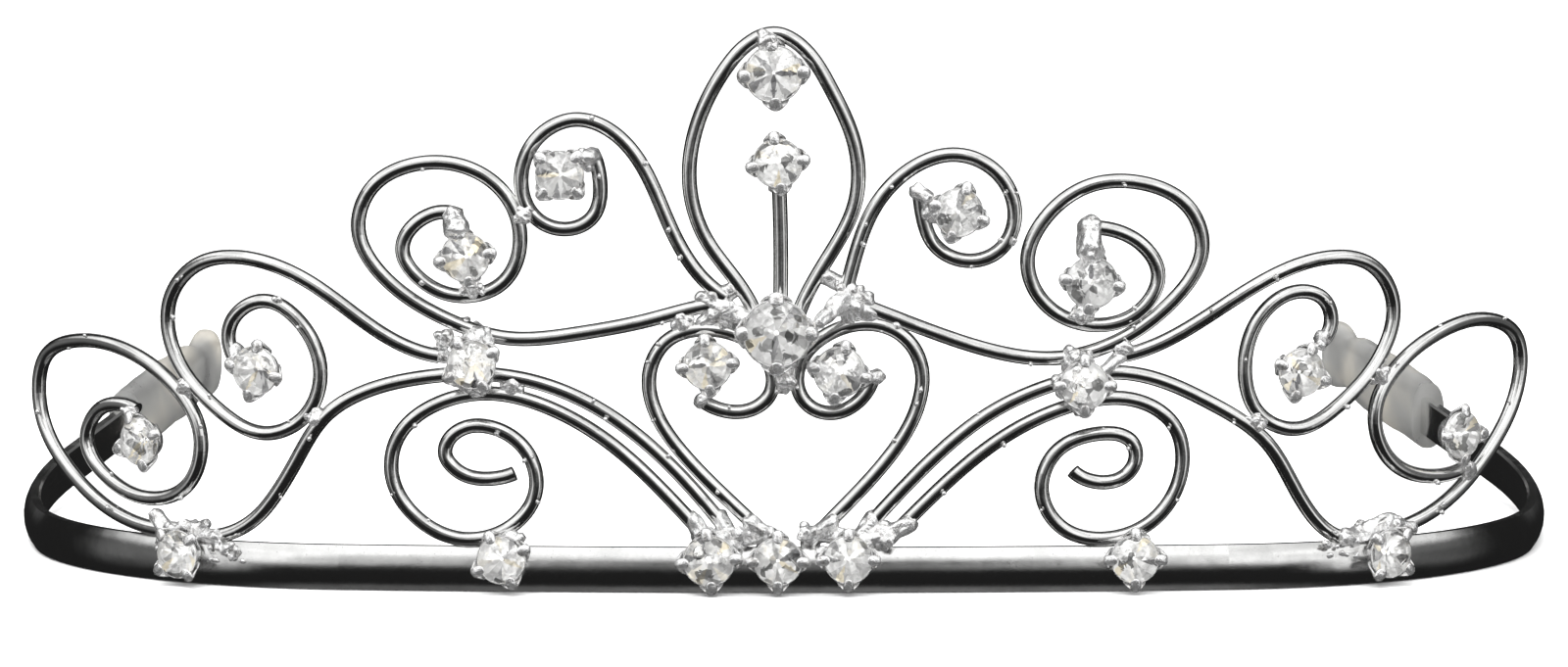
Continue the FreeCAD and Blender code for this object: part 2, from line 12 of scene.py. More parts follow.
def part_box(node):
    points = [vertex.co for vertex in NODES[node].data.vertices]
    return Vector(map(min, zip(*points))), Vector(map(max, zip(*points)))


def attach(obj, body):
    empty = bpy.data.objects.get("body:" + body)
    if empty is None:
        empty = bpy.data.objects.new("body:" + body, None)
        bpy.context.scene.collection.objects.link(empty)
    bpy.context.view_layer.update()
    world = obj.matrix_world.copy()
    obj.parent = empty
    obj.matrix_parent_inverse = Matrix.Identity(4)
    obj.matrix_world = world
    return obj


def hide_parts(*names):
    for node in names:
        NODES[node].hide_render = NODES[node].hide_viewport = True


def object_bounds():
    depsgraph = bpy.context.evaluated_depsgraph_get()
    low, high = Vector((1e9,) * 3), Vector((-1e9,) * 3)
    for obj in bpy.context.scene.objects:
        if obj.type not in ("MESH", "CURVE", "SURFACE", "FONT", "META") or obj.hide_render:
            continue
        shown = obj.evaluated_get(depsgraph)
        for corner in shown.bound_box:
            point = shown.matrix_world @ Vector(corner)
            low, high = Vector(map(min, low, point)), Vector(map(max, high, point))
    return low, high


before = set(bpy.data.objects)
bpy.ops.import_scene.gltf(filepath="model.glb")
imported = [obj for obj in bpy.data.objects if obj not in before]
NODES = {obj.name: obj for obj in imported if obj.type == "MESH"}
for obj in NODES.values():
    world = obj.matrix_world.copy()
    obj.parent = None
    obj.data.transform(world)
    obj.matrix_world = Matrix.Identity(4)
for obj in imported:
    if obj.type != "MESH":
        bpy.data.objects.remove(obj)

MM = 0.001
CAD_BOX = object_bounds()
SIDES = ("left_", "right_")
FRONTWARD = Vector((0, -1, 0))
WIRE_REACH = 0.9 * MM     # takes in one short length of wire, skin to skin
CUP_REACH = 4.5 * MM      # takes in what lies beside a cup
COMMON_RADIUS = 2.05 * MM  # of the stones that most cups hold


# --- meshes ---------------------------------------------------------------------------------------

def vertex_places(mesh):
    """Every vertex of a mesh, in metres, rounded so that vertices on one spot agree."""
    places = np.empty(len(mesh.vertices) * 3)
    mesh.vertices.foreach_get("co", places)
    return np.round(places.reshape(-1, 3), 7)


@cache
def node_points(name):
    """The distinct vertices of a CAD node, in metres."""
    return np.unique(vertex_places(NODES[name].data), axis=0)


@cache
def node_tree(name):
    """A search tree over a CAD node's vertices."""
    points = node_points(name)
    tree = KDTree(len(points))
    for index, point in enumerate(points):
        tree.insert(point, index)
    tree.balance()
    return tree


def nearest(name, place):
    """The CAD node's vertex closest to a place."""
    return node_tree(name).find(place)[0]


def gap(name, place):
    """How far a place is from a CAD node's closest vertex."""
    return (nearest(name, place) - place).length


def bridge(bm, low, high):
    """Faces between two closed rows of vertices; a row of one vertex is a pole."""
    count = max(len(low), len(high))
    for index in range(count):
        after = (index + 1) % count
        if len(low) == 1:
            bm.faces.new((low[0], high[after], high[index]))
        elif len(high) == 1:
            bm.faces.new((low[index], low[after], high[0]))
        else:
            bm.faces.new((low[index], low[after], high[after], high[index]))


def new_piece(name, bm, materials, replaces=(), smooth=True):
    """A finished object from a bmesh, riding on the root body."""
    mesh = bpy.data.meshes.new(name)
    bm.to_mesh(mesh)
    bm.free()
    piece = bpy.data.objects.new(name, mesh)
    bpy.context.scene.collection.objects.link(piece)
    for material in materials:
        mesh.materials.append(material)
    if smooth:
        mesh.polygons.foreach_set("use_smooth", [True] * len(mesh.polygons))
    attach(piece, "root")
    if replaces:
        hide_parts(*replaces)
    return piece


# --- materials ------------------------------------------------------------------------------------

class Nodes:
    """Short hand for one material's node tree."""

    def __init__(self, name):
        self.material = bpy.data.materials.new(name)
        self.material.use_nodes = True
        self.tree = self.material.node_tree
        self.shader = self.tree.nodes["Principled BSDF"]
        self.place = self.tree.nodes.new("ShaderNodeTexCoord").outputs["Object"]

    def put(self, socket, value):
        """Link a socket to another, or set it to a plain value."""
        if isinstance(value, bpy.types.NodeSocket):
            self.tree.links.new(value, socket)
        else:
            socket.default_value = value

    def node(self, kind, inputs=None, **settings):
        made = self.tree.nodes.new(kind)
        for key, value in settings.items():
            setattr(made, key, value)
        for key, value in (inputs or {}).items():
            self.put(made.inputs[key], value)
        return made

    def noise(self, scale, detail, roughness, stretch=(1, 1, 1), distortion=0.0):
        spread = self.node("ShaderNodeMapping", {"Vector": self.place, "Scale": stretch})
        made = self.node("ShaderNodeTexNoise", {
            "Vector": spread.outputs["Vector"], "Scale": scale, "Detail": detail,
            "Roughness": roughness, "Distortion": distortion,
        })
        return made.outputs["Fac"]

    def ramp(self, value, *stops):
        """Colours, or grey levels, along a value."""
        made = self.node("ShaderNodeValToRGB", {"Fac": value})
        elements = made.color_ramp.elements
        while len(elements) < len(stops):
            elements.new(0.5)
        for element, (at, colour) in zip(elements, stops):
            element.position = at
            if isinstance(colour, (int, float)):
                colour = (colour, colour, colour)
            element.color = (*colour, 1.0)
        return made.outputs["Color"]

    def span(self, value, low, high, from_low=0.0, from_high=1.0):
        """A value brought from one range to another."""
        made = self.node("ShaderNodeMapRange", {
            "Value": value, "From Min": from_low, "From Max": from_high,
            "To Min": low, "To Max": high,
        })
        return made.outputs["Result"]

    def add(self, first, second):
        made = self.node("ShaderNodeMath", {0: first, 1: second}, operation="ADD")
        return made.outputs["Value"]

    def multiply(self, factor, first, second):
        """One colour darkened by another."""
        made = self.node("ShaderNodeMix", data_type="RGBA", blend_type="MULTIPLY")
        self.put(made.inputs["Factor"], factor)
        self.put(made.inputs[6], first)
        self.put(made.inputs[7], second)
        return made.outputs[2]

    def bump(self, height, distance, under=None):
        made = self.node("ShaderNodeBump", {
            "Height": height, "Distance": distance, "Strength": 1.0,
        })
        if under is not None:
            self.put(made.inputs["Normal"], under)
        return made.outputs["Normal"]

    def shade(self, **values):
        """Set the shader's own sockets; an underscore stands for a space."""
        for key, value in values.items():
            self.put(self.shader.inputs[key.replace("_", " ")], value)


def plated_metal(name, tint, waviness, grain, stretch=(1, 1, 1)):
    """Bright plating: slow waves from bending, fine hairlines, and a faint dull bloom."""
    made = Nodes(name)
    bloom = made.noise(420, 5, 0.6)
    specks = made.noise(5200, 3, 0.6)
    hair = made.noise(2600, 2, 0.7, stretch)
    colour = made.ramp(bloom, (0.32, [part * 0.86 for part in tint]), (0.62, tint))
    pits = made.ramp(specks, (0.26, (0.35, 0.34, 0.33)), (0.36, 1))
    waves = made.bump(made.noise(260, 2, 0.5), waviness * MM)
    made.shade(
        Base_Color=made.multiply(0.6, colour, pits),
        Metallic=1.0,
        Roughness=made.add(made.span(bloom, 0.16, 0.05, 0.3, 0.7), made.span(hair, 0.0, 0.05)),
        Normal=made.bump(hair, grain * MM, waves),
    )
    return made.material


def lumpy_metal(name, hollow_shade, depth, metallic):
    """Lumpy bright metal with small pits, and painted shade: darker grey colour in the hollows
    between its lumps.
    """
    made = Nodes(name)
    lumps = made.noise(1300, 4, 0.6, distortion=0.4)
    specks = made.noise(3400, 3, 0.6)
    made.shade(
        # painted shade: the colour falls to the darker grey in the low parts of the lump noise, the
        # same hollows that the bump makes
        Base_Color=made.ramp(lumps, (0.30, hollow_shade), (0.38, (0.86, 0.85, 0.84)), (0.50, 1)),
        Metallic=metallic,
        Roughness=made.span(specks, 0.10, 0.26),
        Normal=made.bump(specks, depth * 0.3 * MM, made.bump(lumps, depth * MM)),
    )
    return made.material


def crystal():
    """Clear cut crystal with faint inner clouding and polish marks; light falls through it."""
    made = Nodes("crystal")
    cloud = made.noise(700, 3, 0.5)
    marks = made.noise(3000, 2, 0.5, (1, 1, 6))
    shadow = made.node("ShaderNodeLightPath").outputs["Is Shadow Ray"]
    made.shade(
        Base_Color=made.ramp(cloud, (0.3, (0.95, 0.95, 0.93)), (0.7, (1.0, 1.0, 0.99))),
        Transmission_Weight=1.0,
        IOR=1.55,
        Roughness=made.span(marks, 0.0, 0.03),
        Normal=made.bump(marks, 0.002 * MM),
        Alpha=made.span(shadow, 1.0, 0.12),
    )
    return made.material


def foil():
    """Silver foil under a stone, with painted reflections: each facet gets its own painted
    brightness, from dark to bright, and a few get painted warm glints; small cells add painted bright
    and dark sparkle.
    """
    made = Nodes("foil")
    facet = made.node("ShaderNodeAttribute", attribute_name="facet").outputs["Fac"]
    mottle = made.noise(1300, 4, 0.6)
    # painted reflections: each facet's random value picks a painted brightness, dark, grey or bright,
    # and the top few a painted warm glint
    colour = made.ramp(
        facet, (0.0, (0.20, 0.20, 0.21)), (0.16, 0.60), (0.40, 0.98), (0.90, 1),
        (0.955, (1.0, 0.92, 0.74)),
    )
    cells = made.node("ShaderNodeTexVoronoi", {"Vector": made.place, "Scale": 1350.0})
    split = made.node("ShaderNodeSeparateColor", {"Color": cells.outputs["Color"]})
    # painted sparkle: the cells darken some small patches of the foil's colour and leave the rest
    # bright, as painted glints and dark specks
    painted_sparkle = made.ramp(split.outputs["Red"], (0.10, 0.10), (0.19, 0.74), (0.50, 1))
    tilts = made.bump(cells.outputs["Distance"], 0.07 * MM)
    made.shade(
        Base_Color=made.multiply(0.85, colour, painted_sparkle),
        Metallic=0.62,
        Roughness=made.span(mottle, 0.16, 0.04),
        Normal=made.bump(mottle, 0.03 * MM, tilts),
    )
    return made.material


def sleeve_plastic():
    """Soft clear plastic, greyish and frosted, with flow streaks, dull patches and scuffs; its colour
    wanders at random from dark grey to pale warm patches, which are painted highlights.
    """
    made = Nodes("sleeve_plastic")
    flow_and_sheen = made.noise(110, 2, 0.5, (1, 0.6, 1), 0.3)
    scuff = made.noise(2400, 3, 0.65)
    made.shade(
        # partly random tone, partly painted highlight: the pale warm end of this colour stands in for
        # warm highlights on the sleeve
        Base_Color=made.ramp(
            flow_and_sheen, (0.32, 0.20), (0.50, (0.36, 0.36, 0.35)), (0.70, (0.66, 0.62, 0.54)),
        ),
        Transmission_Weight=0.55,
        IOR=1.43,
        Roughness=made.add(made.span(flow_and_sheen, 0.16, 0.36), made.span(scuff, 0.0, 0.10)),
        Normal=made.bump(scuff, 0.01 * MM, made.bump(flow_and_sheen, 0.5 * MM)),
    )
    return made.material


BAND_METAL = plated_metal("band_plating", (0.88, 0.88, 0.87), 0.05, 0.004, (1, 1, 14))
WIRE_METAL = plated_metal("wire_plating", (0.94, 0.94, 0.93), 0.09, 0.005)
# for cups and solder, the first colour is the painted shade in the hollows between the lumps
CUP_METAL = lumpy_metal("cup_plating", (0.40, 0.39, 0.38), 0.10, 0.92)
SOLDER = lumpy_metal("solder_metal", (0.26, 0.25, 0.25), 0.14, 0.90)
CRYSTAL = crystal()
FOIL = foil()
SLEEVE = sleeve_plastic()


# --- stones and cups ------------------------------------------------------------------------------

class Seat:
    """Where one stone sits: a frame with local Z along its axis and local X towards a claw.

    radius is the stone's, and height is that of its girdle above the cup's foot.
    """

    def __init__(self, node, stone, setting):
        self.node = node
        girdle_edge, claw_margin = 0.05 * MM, 0.4 * MM
        middle = stone.mean(axis=0)
        axis = Vector(np.linalg.eigh(np.cov((stone - middle).T))[1][:, 0])
        if axis.y > 0:
            axis.negate()
        rise = (stone - middle) @ np.array(axis)
        foot = ((setting - middle) @ np.array(axis)).min()
        beside = np.linalg.norm(stone - middle - np.outer(rise, axis), axis=1)
        self.radius = beside.max()
        self.height = rise[beside > self.radius - girdle_edge].min() - foot
        level = Vector((0, 0, 1)).cross(axis).normalized()
        up = axis.cross(level)
        flat = np.stack([
            (setting - middle) @ np.array(level), (setting - middle) @ np.array(up),
        ], axis=1)
        claws = flat[np.linalg.norm(flat, axis=1) > self.radius + claw_margin]
        angles = np.arctan2(claws[:, 1], claws[:, 0])
        turn = np.angle(np.exp(4j * angles).sum()) / 4
        across = level * math.cos(turn) + up * math.sin(turn)
        origin = Vector(middle) + axis * foot
        side = axis.cross(across)
        self.matrix = Matrix((
            (across.x, side.x, axis.x, origin.x),
            (across.y, side.y, axis.y, origin.y),
            (across.z, side.z, axis.z, origin.z),
            (0, 0, 0, 1),
        ))
        self.place = self.matrix.translation.copy()


def brilliant(seat, spin):
    """A round brilliant cut with a table, crown, girdle and a foiled pavilion."""
    bm = bmesh.new()
    radius = seat.radius
    table, break_out, break_in = 0.56, 0.80, 0.28  # shares of the radius
    high, thick, deep = 0.30 * radius, 0.05 * radius, 0.70 * radius
    turn = seat.matrix @ Matrix.Translation((0, 0, seat.height)) @ Matrix.Rotation(spin, 4, "Z")

    def ring(out, rise, offset, count=8):
        made = []
        for index in range(count):
            angle = 2 * math.pi * (index + offset) / count
            spot = Vector((out * math.cos(angle), out * math.sin(angle), rise))
            made.append(bm.verts.new(turn @ spot))
        return made

    half = math.cos(math.pi / 8)
    tops = ring(table * radius, thick + high, 0)
    mids = ring(break_out * radius, thick + high * (1 - break_out * half) / (1 - table), 0.5)
    upper = ring(radius, thick, 0, 16)
    lower = ring(radius, 0, 0, 16)
    lows = ring(break_in * radius, -deep * (1 - break_in * half), 0.5)
    culet = bm.verts.new(turn @ Vector((0, 0, -deep)))
    clear, foiled = 0, 1  # material slots
    faces = [(tops, clear)]
    for k in range(8):
        after = (k + 1) % 8
        a, b, c = upper[2 * k], upper[2 * k + 1], upper[(2 * k + 2) % 16]
        d, e, f = lower[2 * k], lower[2 * k + 1], lower[(2 * k + 2) % 16]
        faces += [
            ((mids[k], tops[after], tops[k]), clear),
            ((mids[k - 1], a, mids[k], tops[k]), clear),
            ((mids[k], a, b), clear),
            ((mids[k], b, c), clear),
            ((a, d, e, b), clear),
            ((b, e, f, c), clear),
            ((lows[k], e, d), foiled),
            ((lows[k], f, e), foiled),
            ((culet, lows[k], d, lows[k - 1]), foiled),
        ]
    for corners, slot in faces:
        bm.faces.new(corners).material_index = slot
    bmesh.ops.recalc_face_normals(bm, faces=bm.faces)
    return bm


def add_cup(bm, seat):
    """A thin turned cup."""
    sides = 32
    profile = [  # shares of the stone's radius and of the girdle's height
        (0.0, 0.0), (0.62, 0.0), (0.70, 0.03), (0.78, 0.25), (0.90, 0.60), (1.0, 0.86), (1.045, 0.95),
        (1.05, 1.0), (1.02, 1.02), (0.98, 1.0), (0.93, 0.93), (0.62, 0.55), (0.30, 0.24), (0.0, 0.2),
    ]
    rows = []
    for out, rise in profile:
        row = []
        for index in range(sides if out else 1):
            angle = 2 * math.pi * index / sides
            spot = Vector((
                out * seat.radius * math.cos(angle), out * seat.radius * math.sin(angle),
                rise * seat.height,
            ))
            row.append(bm.verts.new(seat.matrix @ spot))
        rows.append(row)
    for low, high in zip(rows, rows[1:]):
        bridge(bm, low, high)


def add_claw(bm, seat, angle):
    """A broad claw that narrows and folds over the stone."""
    path = [  # mm out from the stone's edge, mm above its girdle, and half the claw's width
        (-0.46, -1.20, 0.80), (-0.12, -0.78, 1.04), (0.20, -0.40, 0.98), (0.50, -0.08, 0.74),
        (0.74, 0.20, 0.50), (0.80, 0.42, 0.40), (0.60, 0.64, 0.44), (0.28, 0.76, 0.50),
        (-0.06, 0.81, 0.50), (-0.34, 0.81, 0.38), (-0.50, 0.76, 0.18),
    ]
    steps = (-1.0, -0.55, 0.0, 0.55, 1.0)  # across the width
    last = len(steps) - 1
    thick = 0.24
    scale = seat.radius / COMMON_RADIUS
    turn = seat.matrix @ Matrix.Rotation(angle, 4, "Z")
    tops, unders = [], []
    for index, (out, rise, half) in enumerate(path):
        before = path[max(index - 1, 0)]
        after = path[min(index + 1, len(path) - 1)]
        along = Vector((after[0] - before[0], after[1] - before[1])).normalized()
        normal = Vector((along.y, -along.x))
        bow = 0.20 if 2 < index < 9 else 0.08  # how far the edges fall away
        top_row, under_row = [], []
        for step in steps:
            drop = bow * step * step
            for row, depth in ((top_row, 0.0), (under_row, thick)):
                shift = drop + depth
                spot = Vector((
                    seat.radius + (out - normal.x * shift) * MM,
                    half * step * MM * scale,
                    seat.height + (rise - normal.y * shift) * MM,
                ))
                row.append(bm.verts.new(turn @ spot))
        tops.append(top_row)
        unders.append(under_row)
    for a, b, c, d in zip(tops, tops[1:], unders, unders[1:]):
        for step in range(last):
            bm.faces.new((a[step], a[step + 1], b[step + 1], b[step]))
            bm.faces.new((c[step], d[step], d[step + 1], c[step + 1]))
        bm.faces.new((a[0], b[0], d[0], c[0]))
        bm.faces.new((a[last], c[last], d[last], b[last]))
    for one, other in ((tops[0], unders[0]), (unders[-1], tops[-1])):
        for step in range(last):
            bm.faces.new((one[step], other[step], other[step + 1], one[step + 1]))


def cup_and_claws(seat):
    """A cup with its four claws."""
    bm = bmesh.new()
    add_cup(bm, seat)
    for quarter in range(4):
        add_claw(bm, seat, quarter * math.pi / 2)
    bmesh.ops.recalc_face_normals(bm, faces=bm.faces)
    return bm


SEATS = {}
for node in NODES:
    if node.endswith("_stone"):
        name = node.removesuffix("_stone")
        SEATS[name] = Seat(node, node_points(node), node_points(name + "_setting"))
    elif node.endswith("_stones"):
        points = node_points(node)
        for side, keep in zip(SIDES, (points[:, 0] < 0, points[:, 0] > 0)):
            name = side + node.removesuffix("_stones")
            SEATS[name] = Seat(node, points[keep], node_points(name + "_setting"))

rng = random.Random(7)
for name in sorted(SEATS):
    seat = SEATS[name]
    cut = brilliant(seat, rng.uniform(0, math.pi / 4))
    stone = new_piece(name + "_cut", cut, [CRYSTAL, FOIL], [seat.node], smooth=False)
    # a random value per face, which the foil material turns into painted highlights and shade facet
    # by facet
    facets = stone.data.attributes.new("facet", "FLOAT", "FACE")
    facets.data.foreach_set("value", [rng.random() for _ in stone.data.polygons])
    cup = cup_and_claws(seat)
    holder = new_piece(name + "_cup", cup, [CUP_METAL], [name + "_setting"])
    smoother = holder.modifiers.new("smooth", "SUBSURF")
    smoother.levels = 2
    smoother.render_levels = 2


# --- solder ---------------------------------------------------------------------------------------

@cache
def wire_ends(name):
    """The middles of a wire's two ends: the places farthest apart along its skin."""
    mesh = NODES[name].data
    spots, index = np.unique(vertex_places(mesh), axis=0, return_inverse=True)
    pairs = np.empty(len(mesh.edges) * 2, dtype=int)
    mesh.edges.foreach_get("vertices", pairs)
    beside = [[] for _ in spots]
    for one, other in index.reshape(-1)[pairs].reshape(-1, 2):
        beside[one].append(other)
        beside[other].append(one)

    def farthest(start):
        seen = {start}
        front = [start]
        while front:
            last = front[0]
            later = []
            for here in front:
                for there in beside[here]:
                    if there not in seen:
                        seen.add(there)
                        later.append(there)
            front = later
        return last

    first = farthest(0)
    ends = []
    for spot in (first, farthest(first)):
        close = spots[np.linalg.norm(spots - spots[spot], axis=1) < WIRE_REACH]
        ends.append(Vector(close.mean(axis=0)))
    return ends


class Solder:
    """Lumps of solder that melt into one skin, placed where CAD nodes come near each other.

    Sizes are the lumps' radii in mm.
    """

    def __init__(self, name, seed):
        self.name = name
        self.bm = bmesh.new()
        self.rng = random.Random(seed)

    def lump(self, place, radius):
        """One uneven lump."""
        made = bmesh.ops.create_icosphere(self.bm, subdivisions=3, radius=radius * MM)
        unevenness = 0.34
        for vert in made["verts"]:
            way = vert.co.normalized()
            vert.co += way * radius * MM * unevenness * noise.noise(way * 1.6 + place / MM)
            vert.co += place

    def around(self, place, reach, size, count=4):
        """A few small lumps within reach, in mm, of a place."""
        for _ in range(count):
            shift = Vector([self.rng.uniform(-1, 1) for _ in range(3)]) * reach * MM
            self.lump(place + shift, size * self.rng.uniform(0.4, 0.7))

    def run(self, start, end, first, last):
        """Lumps in a row from start to end, changing in size."""
        spacing = 0.4 * MM
        steps = max(2, math.ceil((end - start).length / spacing))
        for step in range(steps + 1):
            share = step / steps
            self.lump(start.lerp(end, share), first + (last - first) * share)

    def joint(self, first, second, size=0.62, near=None):
        """Solder where two nodes come closest, or come closest beside a cup; wider than deep."""
        ones = node_points(first)
        if near:
            centre = np.array(SEATS[near].place)
            ones = ones[np.linalg.norm(ones - centre, axis=1) < CUP_REACH]
            if not len(ones):
                return
        one = min(map(Vector, ones), key=lambda place: gap(second, place))
        other = nearest(second, one)
        middle = (one + other) / 2 + FRONTWARD * 0.2 * MM
        across = (other - one).normalized() if other != one else Vector((1, 0, 0))
        along = across.cross(FRONTWARD).normalized()
        half_length, half_width = 0.7, 0.35
        self.run(
            middle - along * half_length * MM, middle + along * half_length * MM,
            0.7 * size, 0.7 * size,
        )
        self.run(
            middle - across * half_width * MM, middle + across * half_width * MM, size, size,
        )
        self.around(middle, 0.8 * size, size)

    def weld(self, wire, other, size=0.6, flare=0.75):
        """Solder from a wire's nearer end to the closest place on another node."""
        end = min(wire_ends(wire), key=lambda place: gap(other, place))
        touch = nearest(other, end)
        ahead = FRONTWARD * 0.1 * MM
        self.run(end + ahead, touch + ahead, size * 1.1, size * flare)
        self.around(end, 0.5 * size, size)

    def foot(self, wire, near, size=0.85):
        """Solder that creeps up a wire from the band."""
        centre = SEATS[near].place
        end = min(wire_ends(wire), key=lambda place: (place - centre).length)
        points = node_points(wire)
        last_stretch = 3.4 * MM
        local = points[np.linalg.norm(points - np.array(end), axis=1) < last_stretch]
        rise = (Vector(local.mean(axis=0)) - end).normalized()
        low = end + FRONTWARD * 0.30 * MM
        self.run(low, low + rise * 2.6 * MM, size, 0.70)
        self.run(low, low - Vector((0, 0, 0.9)) * MM, size, 0.5 * size)
        self.around(low, 1.1, size, 9)
        return low + Vector((0, 0, 0.5)) * MM

    def specks(self, near, side, count):
        """Spatter on the band's face beside a cup; side is 1 or -1 along the band."""
        cup = SEATS[near].matrix
        axis = cup.to_3x3().col[2]
        level = Vector((0, 0, 1)).cross(axis).normalized()
        curve = 0.012  # how the band falls away, per mm squared
        for _ in range(count):
            out = self.rng.uniform(2.2, 5.6)
            place = cup.translation + level * side * out * MM
            place.z += self.rng.uniform(-0.6, 1.1) * MM
            place -= axis * curve * out * out * MM
            self.lump(place, self.rng.uniform(0.16, 0.40))

    def spatter(self, wire, count):
        """Tiny beads of solder along the front of a wire."""
        points = node_points(wire)
        for _ in range(count):
            spot = points[self.rng.randrange(len(points))]
            local = points[np.linalg.norm(points - spot, axis=1) < WIRE_REACH]
            middle = Vector(local.mean(axis=0))
            out = (Vector(spot) - middle) * 0.25
            out.y = -abs(out.y) - 0.40 * MM
            self.lump(middle + out.normalized() * 0.62 * MM, self.rng.uniform(0.17, 0.27))

    def finish(self):
        """Melt the lumps into one skin."""
        piece = new_piece(self.name, self.bm, [SOLDER])
        melt = piece.modifiers.new("melt", "REMESH")
        melt.mode = "VOXEL"
        melt.voxel_size = 0.09 * MM
        melt.use_smooth_shade = True
        soft = piece.modifiers.new("soft", "SMOOTH")
        soft.iterations = 4


def spray_solder(side, seed):
    """The joints of one side of the spray, with beads along its wires."""
    joints = Solder(side + "solder", seed)
    for first, second in (
        ("heart_scroll", "upper_scroll"), ("inner_scroll", "upper_scroll"), ("side_scroll", "arch"),
        ("end_scroll", "side_scroll"), ("upper_scroll", "side_scroll"), ("arch", "lower_scroll"),
        ("upper_scroll", "upper_setting"), ("inner_scroll", "inner_setting"),
    ):
        joints.joint(side + first, side + second)
    for wire, size in (("lower_scroll", 0.9), ("upper_scroll", 1.1), ("arch", 0.9)):
        joints.joint(side + wire, side + "junction_setting", size)
    beside = nearest(side + "upper_scroll", SEATS[side + "junction"].place)
    joints.around(beside, 1.4, 0.9, 8)
    for wire, cup, size, flare in (
        ("inner_scroll", "inner_setting", 0.7, 0.8), ("upper_scroll", "upper_setting", 0.9, 1.3),
        ("side_scroll", "side_setting", 0.65, 0.8),
        ("end_scroll", "end_scroll_setting", 0.65, 0.8),
        ("heart_scroll", "heart_setting", 0.6, 0.8), ("side_scroll", "junction_setting", 0.6, 0.75),
    ):
        joints.weld(side + wire, side + cup, size, flare)
    for wire in ("heart", "inner", "upper", "side", "end", "lower"):
        joints.spatter(side + wire + "_scroll", 9)
    joints.spatter(side + "arch", 9)
    joints.finish()


def band_solder(side, seed, outward):
    """Where one side's wires stand on the band."""
    feet = Solder(side + "band_solder", seed)
    lows = [
        feet.foot(side + wire, side + near)
        for wire, near in (
            ("heart_scroll", "band_side"), ("arch", "band_side"), ("lower_scroll", "band_side"),
            ("arch", "band_end"), ("end_scroll", "band_end"),
        )
    ]
    for first, second in ((0, 1), (1, 2), (3, 4)):
        feet.run(lows[first], lows[second], 0.75, 0.75)
    feet.joint(side + "lower_scroll", "headband", 0.66, side + "band_mid")
    feet.specks(side + "band_end", outward, 14)
    feet.finish()


def centre_solder():
    """The cluster round the centre stone, and the joints of the leaf and stem."""
    centre = Solder("centre_solder", 31)
    cup = SEATS["centre"].place
    for side in SIDES:
        upper, inner = (
            min(wire_ends(side + wire), key=lambda place: (place - cup).length)
            for wire in ("upper_scroll", "inner_scroll")
        )
        heart = nearest(side + "heart_scroll", upper)
        centre.weld(side + "upper_scroll", "centre_setting", 0.8)
        centre.weld(side + "inner_scroll", side + "upper_scroll", 0.8)
        centre.run(upper, heart, 0.75, 0.75)
        centre.run(inner, heart, 0.7, 0.7)
        centre.run(inner, nearest("centre_leaf", inner), 0.75, 0.7)
        outer = upper + (upper - cup) * 0.45
        for wire in ("upper_scroll", "heart_scroll"):
            centre.run(upper, nearest(side + wire, outer), 0.8, 0.7)
        centre.around(upper, 1.3, 0.8, 12)
        centre.joint("centre_setting", side + "heart_scroll", 0.7)
    centre.joint("left_heart_scroll", "right_heart_scroll", 0.8)
    centre.weld("centre_stem", "stem_setting", 0.5)
    centre.joint("centre_leaf", "tip_setting", 0.7)
    centre.finish()


for side, seed, outward in (("left_", 11, 1), ("right_", 12, -1)):
    spray_solder(side, seed)
    band_solder(side, seed + 10, outward)
centre_solder()


# --- sleeves --------------------------------------------------------------------------------------

def sleeve_cover(name):
    """A soft sleeve pulled over the band's end: necked before its bulbous tip, and uneven."""
    points = node_points(name)
    middle = points.mean(axis=0)
    vectors = np.linalg.eigh(np.cov((points - middle).T))[1]
    axes = [Vector(vectors[:, index]) for index in range(3)]  # thickness, height, length
    if axes[2].y < 0:
        axes[2].negate()
    spans = [(points - middle) @ np.array(axis) for axis in axes]
    lows = [span.min() for span in spans]
    highs = [span.max() for span in spans]
    thin, tall = ((high - low) / 2 for low, high in zip(lows[:2], highs[:2]))
    start = Vector(middle)
    for axis, low, high in zip(axes[:2], lows, highs):
        start += axis * (low + high) / 2

    def dip(share, place, width, depth):
        return depth * math.exp(-(((share - place) / width) ** 2))

    bm = bmesh.new()
    rings, sides = 90, 40
    dome = 2.2 * MM    # length of the rounded tip
    square = 0.78      # below 1 squares the section off
    rows = []
    for index in range(rings):
        share = index / (rings - 1)
        along = lows[2] + (highs[2] - lows[2]) * share
        left = (highs[2] - along) / dome
        close = math.sqrt(max(0.0, 1 - (1 - left) ** 2)) if left < 1 else 1.0
        neck = 1 - dip(share, 0.80, 0.075, 0.20) - dip(share, 0.0, 0.06, 0.05)
        size = neck * max(close, 0.02)
        row = []
        for step in range(sides):
            angle = 2 * math.pi * step / sides
            flat = [
                math.copysign(abs(part) ** square, part)
                for part in (math.sin(angle), math.cos(angle))
            ]
            spot = start + axes[2] * along
            lobe = 0.93 + 0.07 * noise.noise((spot + axes[1] * flat[1] * tall) / (4.5 * MM))
            spot += axes[0] * flat[0] * thin * size * lobe + axes[1] * flat[1] * tall * size * lobe
            row.append(bm.verts.new(spot))
        rows.append(row)
    for low, high in zip(rows, rows[1:]):
        bridge(bm, low, high)
    bm.faces.new(rows[0][::-1])
    bm.faces.new(rows[-1])
    bmesh.ops.recalc_face_normals(bm, faces=bm.faces)
    new_piece(name + "_cover", bm, [SLEEVE], [name])


for side in SIDES:
    sleeve_cover(side + "sleeve")


# --- carried-over metal ---------------------------------------------------------------------------

for node, item in NODES.items():
    metal = BAND_METAL if node == "headband" else WIRE_METAL
    item.data.materials.clear()
    item.data.materials.append(metal)


# --- floor, light and camera ----------------------------------------------------------------------

